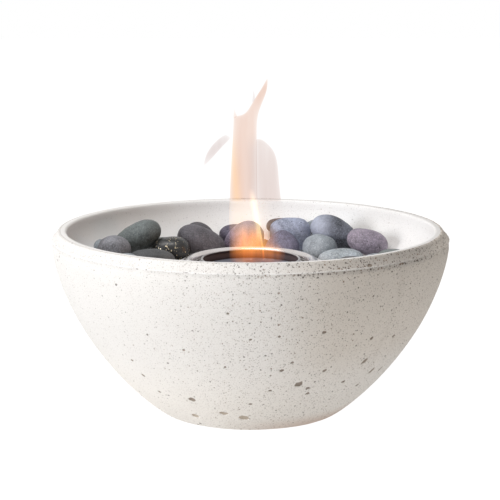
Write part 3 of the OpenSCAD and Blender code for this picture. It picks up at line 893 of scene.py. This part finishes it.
class FIREBOWL_OT_fuel_can(bpy.types.Operator):
    """Make the open can and its gel"""
    bl_idname = "firebowl.fuel_can"
    bl_label = "Fuel Can"

    def execute(self, context):
        burner = context.scene.fire_burner
        self.plate = tinplate(burner)
        seam_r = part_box("can_top")[1].x
        self.make_top(seam_r)
        self.make_wall_and_bottom(seam_r)
        self.fill_gel(burner)
        return {"FINISHED"}

    def turned(self, outline, name, node):
        """A piece of tinplate turned from an outline."""
        piece = finished(spun(outline, TURNS), name, self.plate)
        stands_for(piece, CAN_BODY, node)

    def make_top(self, seam_r):
        """The top end: a sunken panel with a raised, rolled mouth, and its double seam."""
        low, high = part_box("can_top")
        panel = low.z
        panel_z = panel + TIN * 0.5
        lip = 1.8 * MM
        neck_r = MOUTH_RADIUS + lip
        roll = (MOUTH_RADIUS + lip / 2, high.z - lip / 2)
        line = ([(seam_r - 2.6 * TIN, panel_z), (neck_r + 1.2 * MM, panel_z)]
                + arc((neck_r + 0.4 * MM, panel + 1.2 * MM), 0.8 * MM, 270, 180, 4)
                + [(neck_r - 0.6 * MM, roll[1] - 0.4 * MM)])
        self.turned(sheet_profile(line, TIN), "can_top_end", "can_top")
        self.turned(arc(roll, lip / 2, 0, 360, 20)[:-1], "can_mouth_curl", "can_top")
        middle = seam_r - 1.5 * TIN
        crest = panel + SEAM - BEND
        outline = (arc((middle + 0.6 * TIN, crest), BEND, 0, 90, 4)
                   + arc((middle - 0.6 * TIN, crest), BEND, 90, 180, 4)
                   + [(middle - 1.5 * TIN, panel + TIN), (middle + BEND, panel),
                      (seam_r, panel_z)])
        self.turned(outline, "can_top_seam", "can_top")

    def make_wall_and_bottom(self, seam_r):
        """The wall with its faint beads, and the bottom end: a stepped panel and its seam."""
        low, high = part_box("can_wall")
        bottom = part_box("can_bottom")[0].z + 0.05 * MM  # clear of the cup's floor
        middle = seam_r - 1.5 * TIN
        inner_r, outer_r = middle - TIN / 2, middle + TIN / 2
        bead_r = outer_r - 0.35 * MM
        body = [(inner_r, low.z), (outer_r, low.z), (outer_r, low.z + 4 * MM)]
        for height in (22, 48, 74):
            z = bottom + height * MM
            body += [(outer_r, z - 2 * MM), (bead_r, z - 0.7 * MM), (bead_r, z + 0.7 * MM),
                     (outer_r, z + 2 * MM)]
        body += [(outer_r, high.z), (inner_r, high.z)]
        self.turned(refined(body, 6 * MM), "can_side", "can_wall")
        floor = bottom + SEAM - TIN
        base = [(0.0, floor + TIN * 0.5), (middle - 9 * MM, floor + TIN * 0.5),
                (middle - 7.5 * MM, floor - 0.4 * MM), (middle - 1.6 * MM, floor - 0.4 * MM)]
        self.turned(sheet_profile(base, TIN), "can_bottom_end", "can_bottom")
        hem = (arc((seam_r - BEND, bottom + BEND), BEND, -90, 0, 4)
               + [(seam_r, bottom + SEAM - 0.4 * TIN), (seam_r - 0.4 * TIN, bottom + SEAM),
                  (seam_r - 3.0 * TIN, bottom + SEAM)]
               + arc((seam_r - 2.1 * TIN, bottom + BEND), BEND, 180, 270, 4))
        self.turned(hem, "can_bottom_seam", "can_bottom")

    @staticmethod
    def fill_gel(burner):
        """The gel, its surface a little hollow and uneven."""
        low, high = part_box("fuel_gel")
        neck = MOUTH_RADIUS - 0.2 * MM
        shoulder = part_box("can_top")[0].z - 0.2 * MM
        line = ([(0.0, low.z), (high.x - 1 * MM, low.z), (high.x, low.z + 1 * MM),
                 (high.x, shoulder), (neck, shoulder), (neck, high.z)]
                + [(neck * (1 - i / 12), high.z - 0.9 * MM * math.sin(math.pi / 2 * i / 12))
                   for i in range(1, 13)])
        made = spun(refined(line, 3 * MM), 96)
        for vert in made.verts:
            if vert.co.z > high.z - 1.2 * MM and vert.co.xy.length < neck - 1 * MM:
                vert.co.z += noise.noise(vert.co * 110.0) * 0.35 * MM
        stands_for(finished(made, "gel_fill", gel(burner)), CAN_BODY, "fuel_gel")


# ---- Flame ----

# Stations of each tongue of flame, from its foot to its tip: the x and z of its left edge,
# the x and z of its right edge and its half depth, in millimetres.
FLAME_TRUNK = [
    (-15, 108, 10, 108, 12), (-16, 114, 11, 114, 12), (-16, 126, 9, 126, 11),
    (-15.8, 142, 6, 142, 10), (-15.6, 158, 5, 158, 10), (-14.3, 182, 4.8, 182, 10),
    (-13, 202, 4.7, 198, 9), (-12.6, 211, 4.6, 204, 8.5), (-12.5, 214.5, 4.6, 208, 8.5),
    (-12.4, 217, 4.7, 211, 8.5), (-9.5, 217.6, 4.9, 214, 8), (-6, 218, 5.4, 218, 8),
    (-2.2, 220.6, 6.4, 222, 8), (2.6, 229.5, 9, 228.5, 7.5),
    (7.4, 236.5, 11.4, 234.5, 7), (10, 241, 12.3, 240, 5.5), (11.8, 244.5, 12.3, 244.5, 2),
]
FLAME_LOBE = [
    (8, 108, 24, 108, 11), (9, 114, 26, 114, 11), (7, 128, 25.6, 128, 11),
    (4.7, 145, 24, 145, 10), (4.0, 158, 22.2, 158, 10), (3.9, 171, 20.8, 171, 9.5),
    (3.8, 181, 20.2, 181, 9), (3.7, 190, 18.4, 190, 8), (3.7, 197.5, 14.2, 196, 7),
    (3.8, 201.5, 8.5, 200.5, 6),
]
FLAME_SPIKE = [
    (-12.6, 215, -9.4, 217.2, 5), (-12.5, 217.5, -10.2, 218.6, 4), (-12.3, 220.5, -11.2, 221, 2),
    (-12.1, 223.5, -11.9, 223.5, 1),
]
FLAME_WISP = [
    (-34.6, 180.5, -34, 180.8, 1), (-33.6, 185.5, -30.4, 184.2, 3), (-32, 190.5, -26, 189, 5),
    (-28, 196.5, -20.8, 195, 5), (-22.6, 201.5, -16.6, 199, 4), (-18, 204.8, -13.8, 201.8, 2),
]
FLAME_CURL = [
    (0.6, 226, 3.4, 229, 2.5), (1.4, 230, 3.2, 232, 2), (1.8, 236, 2.4, 236.5, 1),
]


class FIREBOWL_OT_light_flame(bpy.types.Operator):
    """Light the flame over the can"""
    bl_idname = "firebowl.light_flame"
    bl_label = "Light Flame"

    def execute(self, context):
        flame = context.scene.fire_flame
        trunk = fire(flame, "fire_trunk", (0.74, 0.36, 0.16), 1.7, 1.0)
        lobe = fire(flame, "fire_lobe", (0.52, 0.24, 0.12), 1.35, 0.75)
        smoke = fire(flame, "fire_smoke", (0.45, 0.24, 0.20), 2.3, 0.0)
        tongues = {"flame_trunk": (FLAME_TRUNK, trunk), "flame_lobe": (FLAME_LOBE, lobe),
                   "flame_spike": (FLAME_SPIKE, trunk), "flame_wisp": (FLAME_WISP, smoke),
                   "flame_curl": (FLAME_CURL, smoke)}
        for name, (stations, gas) in tongues.items():
            piece = smoothed(finished(tongue(stations), name, gas))
            piece.visible_shadow = False
            piece.visible_diffuse = False
            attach(piece, CAN_BODY)
        return {"FINISHED"}


def tongue(stations):
    """A closed loft through the stations, with a full, squarish section."""
    made = bmesh.new()
    sides = 20
    rings = []
    for left_x, left_z, right_x, right_z, deep in stations:
        left = Vector((left_x, 0, left_z)) * MM
        right = Vector((right_x, 0, right_z)) * MM
        ring = []
        for i in range(sides):
            turn = math.tau * i / sides
            along = math.copysign(abs(math.cos(turn)) ** 0.6, math.cos(turn))
            back = math.copysign(abs(math.sin(turn)) ** 0.6, math.sin(turn))
            place = (left + right) / 2 + (right - left) / 2 * along
            ring.append(made.verts.new(place + Vector((0, back * deep * MM, 0))))
        rings.append([made.edges.new((ring[i - 1], ring[i])) for i in range(sides)])
    for lower, upper in zip(rings, rings[1:]):
        bmesh.ops.bridge_loops(made, edges=lower + upper)
    bmesh.ops.holes_fill(made, edges=made.edges[:], sides=0)
    bmesh.ops.recalc_face_normals(made, faces=made.faces[:])
    return made


def fire(flame, name, tint, hides, glows):
    """Hot gas: it glows low down, and only tints what is behind it higher up.

    Heights are in metres over the table, with the can at rest.
    """
    finish = Finish(name)
    point = finish.place()
    x, y, z = finish.axes(point)
    level = z + y * 0.157  # a height that counts for more towards the back
    drawn_out = finish.vector("MULTIPLY", {0: point, 1: (1.0, 1.0, 0.12)})
    streak = finish.cloud(drawn_out, 210.0, 2.0, 0.5)

    # the bright core, which leans to the left as it rises, and the warm strip up the left side
    core = (x + (z - 0.145) * 0.19).hump(0.0041, 0.0021)
    core = core * level.above(0.116, 0.138) * level.below(0.153, 0.166) * 0.70
    strip = (x + (z - 0.160) * 0.10).hump(-0.0105, 0.0035) * level.below(0.190, 0.225)

    # what it hides: much of it over the bowl's rim, a little of it lower down and at the root
    greyer = x.above(-0.007, 0.007) * z.below(0.190, 0.208)
    blended = finish.mixed(greyer, tint, (0.50, 0.25, 0.17))
    warm = finish.mixed(strip * (glows * 0.75), blended, (0.98, 0.56, 0.08))
    high = level.above(0.1540, 0.1575)
    root = level.below(0.128, 0.146) * x.above(-0.018, -0.004) * x.below(0.004, 0.024)
    density = high * (streak.above(0.3, 0.7) * 0.35 + 0.82) * (flame.veil * hides)
    density = density * (strip * glows * 0.3 + 1.0) * (z.above(0.220, 0.240) * 0.6 + 1.0)
    density = density + (root * 0.6 + (1.0 - high) * 0.16) * (flame.veil * hides)
    hidden = finish.node("ShaderNodeVolumeAbsorption", values={"Color": warm, "Density": density})

    # what it gives off: an ember foot, the orange low part, a pale pane over it and the core
    low = level.below(0.126, 0.142)
    body = finish.mixed(low, flame.pale, flame.orange)
    body = finish.mixed(level.below(0.114, 0.122), body, flame.ember)
    light = finish.mixed(core, body, flame.core)
    foot = level.below(0.116, 0.126)
    side = (x + foot * 0.003).above(-0.019, 0.002) * (x - foot * 0.008).below(0.003, 0.022)
    strength = low * side * (level.above(0.112, 0.122) + 0.40)
    strength = strength * (streak.above(0.34, 0.64) * 1.1 + 0.40)
    pane = level.above(0.128, 0.142) * (1.0 - high) * x.below(0.002, 0.018)
    strength = (strength + pane * 0.31 + core) * (flame.glow * glows)
    shining = finish.node("ShaderNodeEmission", values={"Color": light, "Strength": strength})
    both = finish.node("ShaderNodeAddShader", values={0: hidden, 1: shining})
    finish.node("ShaderNodeOutputMaterial", values={"Volume": both})
    return finish.made


# ---- Studio ----

# Soft lamps: place, size and colour. Each takes its power from the setting of its name.
LAMPS = {
    "key": ((-1.53, -0.88, 0.50), 0.7, (0.93, 0.96, 1.0)),
    "fill": ((-0.15, -0.62, 1.8), 0.8, (0.97, 0.98, 1.0)),
    "top": ((-0.7, -0.45, 1.75), 1.0, (1.0, 0.97, 0.94)),
}


class FIREBOWL_OT_studio(bpy.types.Operator):
    """Set up the floor, the lamps and the camera"""
    bl_idname = "firebowl.studio"
    bl_label = "Studio"

    def execute(self, context):
        scene = context.scene
        studio = scene.fire_studio
        scene.view_settings.view_transform = "Standard"
        self.light_world(scene, studio)
        self.lay_floor()
        for name, (place, size, tone) in LAMPS.items():
            self.hang_lamp(name + "_lamp", place, size, tone, getattr(studio, name))
        self.add_glow(scene.fire_flame)
        self.place_camera(scene, studio)
        return {"FINISHED"}

    @staticmethod
    def light_world(scene, studio):
        """Even warm light from all round, which shows white to the camera and in reflections."""
        sky = Finish("studio_white", "worlds")
        warm = sky.node("ShaderNodeBackground", values={
            "Color": (1.0, 0.925, 0.845, 1.0), "Strength": studio.sky})
        white = sky.node("ShaderNodeBackground", values={"Color": WHITE})
        camera = sky.node("ShaderNodeLightPath", output="Is Camera Ray")
        seen = camera.most(camera.other("Is Glossy Ray"))
        seen = seen.most(camera.other("Is Transmission Ray"))
        shader = sky.node("ShaderNodeMixShader", values={0: seen, 1: warm, 2: white})
        sky.node("ShaderNodeOutputWorld", values={"Surface": shader})
        scene.world = sky.made

    @staticmethod
    def lay_floor():
        """A white floor that runs into the white behind it and keeps a faint shadow."""
        finish = Finish("floor_white")
        matt = finish.node("ShaderNodeBsdfDiffuse", values={"Color": (0.85, 0.82, 0.785, 1.0)})
        white = finish.node("ShaderNodeEmission", values={"Color": WHITE, "Strength": 1.15})
        camera = finish.node("ShaderNodeLightPath", output="Is Camera Ray")
        seen = camera.most(camera.other("Is Glossy Ray")) * 0.88
        seen = seen + camera.other("Is Diffuse Ray") * 0.53
        shader = finish.node("ShaderNodeMixShader", values={0: seen, 1: matt, 2: white})
        finish.node("ShaderNodeOutputMaterial", values={"Surface": shader})
        made = bmesh.new()
        bmesh.ops.create_grid(made, x_segments=1, y_segments=1, size=6.0)
        finished(made, "floor", finish.made)

    @staticmethod
    def hang_lamp(name, place, size, tone, watts):
        """A square soft lamp that points at the middle of the bowl."""
        middle = Vector((0, 0, 0.08))
        lamp = bpy.data.lights.new(name, "AREA")
        lamp.size = size
        lamp.energy = watts
        lamp.color = tone
        turn = (middle - Vector(place)).to_track_quat("-Z", "Y").to_euler()
        placed(name, lamp, place).rotation_euler = turn

    @staticmethod
    def add_glow(flame):
        """The flame's own warm light on the pebbles round it."""
        lamp = bpy.data.lights.new("flame_glow", "POINT")
        lamp.energy = flame.lamp
        lamp.shadow_soft_size = 0.016
        lamp.color = (1.0, 0.45, 0.14)
        over_mouth = (0.003, 0.002, 0.136)
        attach(placed("flame_glow", lamp, over_mouth), CAN_BODY)

    @staticmethod
    def place_camera(scene, studio):
        """The camera at the photograph's angle."""
        camera = bpy.data.cameras.new("camera")
        camera.lens = studio.lens
        camera.sensor_width = 36.0
        camera.clip_start = 0.01
        camera.clip_end = 50.0
        scene.camera = placed("camera", camera, (studio.offset, -studio.distance, studio.height))
        scene.camera.rotation_euler = (math.pi / 2 - studio.tilt, 0.0, 0.0)


# ---- Add-on ----

SETTINGS = {
    "fire_bowl": BowlSettings,
    "fire_pebbles": PebbleSettings,
    "fire_burner": BurnerSettings,
    "fire_flame": FlameSettings,
    "fire_studio": StudioSettings,
}
STEPS = (
    FIREBOWL_OT_cast_bowl,
    FIREBOWL_OT_felt_pads,
    FIREBOWL_OT_lay_pebbles,
    FIREBOWL_OT_can_holder,
    FIREBOWL_OT_fuel_can,
    FIREBOWL_OT_light_flame,
    FIREBOWL_OT_studio,
)


class FIREBOWL_PT_panel(bpy.types.Panel):
    """Lists the fire bowl's settings and steps"""
    bl_idname = "FIREBOWL_PT_panel"
    bl_label = "Fire Bowl"
    bl_space_type = "VIEW_3D"
    bl_region_type = "UI"
    bl_category = "Fire Bowl"

    def draw(self, context):
        for name, group in SETTINGS.items():
            box = self.layout.box()
            settings = getattr(context.scene, name)
            for key in group.__annotations__:
                box.prop(settings, key)
        for step in STEPS:
            self.layout.operator(step.bl_idname)


def register():
    """Adds the settings, operators and panel."""
    for name, group in SETTINGS.items():
        bpy.utils.register_class(group)
        setattr(bpy.types.Scene, name, PointerProperty(type=group))
    for entry in (*STEPS, FIREBOWL_PT_panel):
        bpy.utils.register_class(entry)


def unregister():
    """Takes them away again."""
    for entry in (FIREBOWL_PT_panel, *reversed(STEPS)):
        bpy.utils.unregister_class(entry)
    for name, group in reversed(SETTINGS.items()):
        delattr(bpy.types.Scene, name)
        bpy.utils.unregister_class(group)


def main():
    """Builds the fire bowl step by step."""
    register()
    bpy.ops.firebowl.cast_bowl()
    bpy.ops.firebowl.felt_pads()
    bpy.ops.firebowl.lay_pebbles()
    bpy.ops.firebowl.can_holder()
    bpy.ops.firebowl.fuel_can()
    bpy.ops.firebowl.light_flame()
    bpy.ops.firebowl.studio()


if __name__ == "__main__":
    main()
